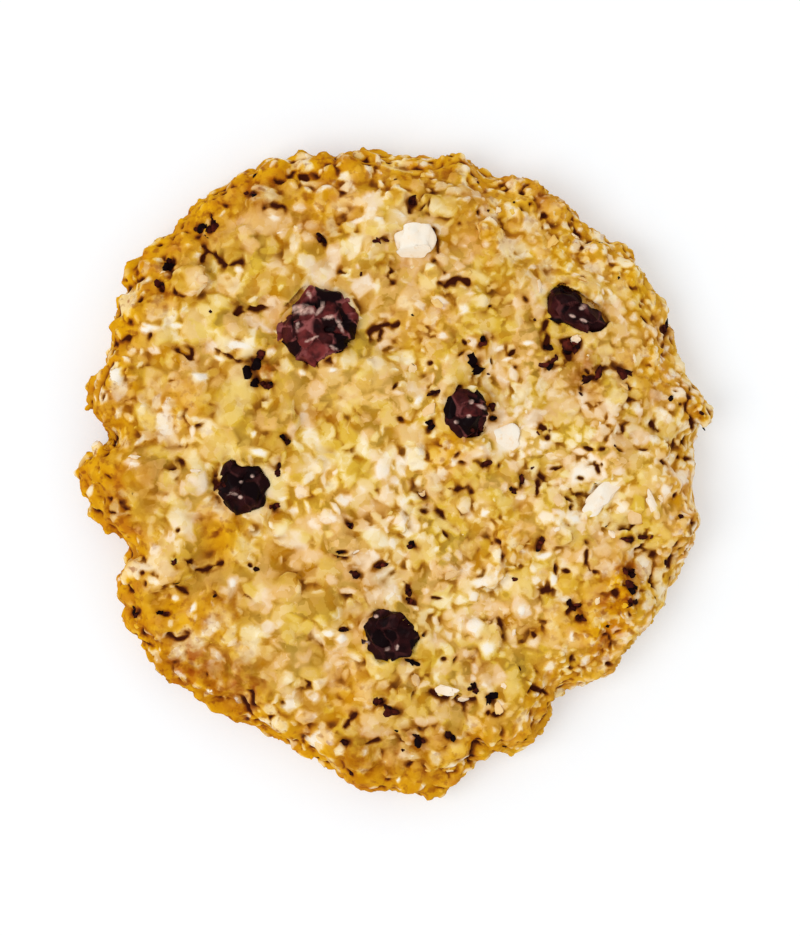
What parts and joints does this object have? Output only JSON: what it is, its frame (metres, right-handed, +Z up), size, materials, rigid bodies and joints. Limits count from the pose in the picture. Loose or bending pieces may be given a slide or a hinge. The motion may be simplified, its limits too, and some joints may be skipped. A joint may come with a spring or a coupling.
{
  "type": "chocolate chip cookie",
  "caption": "Round baked oat and coconut cookie with dark chocolate chips, a craggy crown, a ragged toasted edge and a flat base.",
  "frame": {"origin": "under the middle of the cookie's bounding box, on the surface it lies on", "axes": "+Z up through the crown, +X to the right and +Y to the top of the view from above"},
  "size_m": [0.077, 0.0776, 0.0144],
  "materials": {
    "dough": null,
    "chocolate": null
  },
  "bodies": {
    "root": {"dough": "dough", "chip_upper_left": "chocolate", "chip_upper_right": "chocolate", "chip_right": "chocolate", "chip_left": "chocolate", "chip_bottom": "chocolate"}
  },
  "joints": []
}
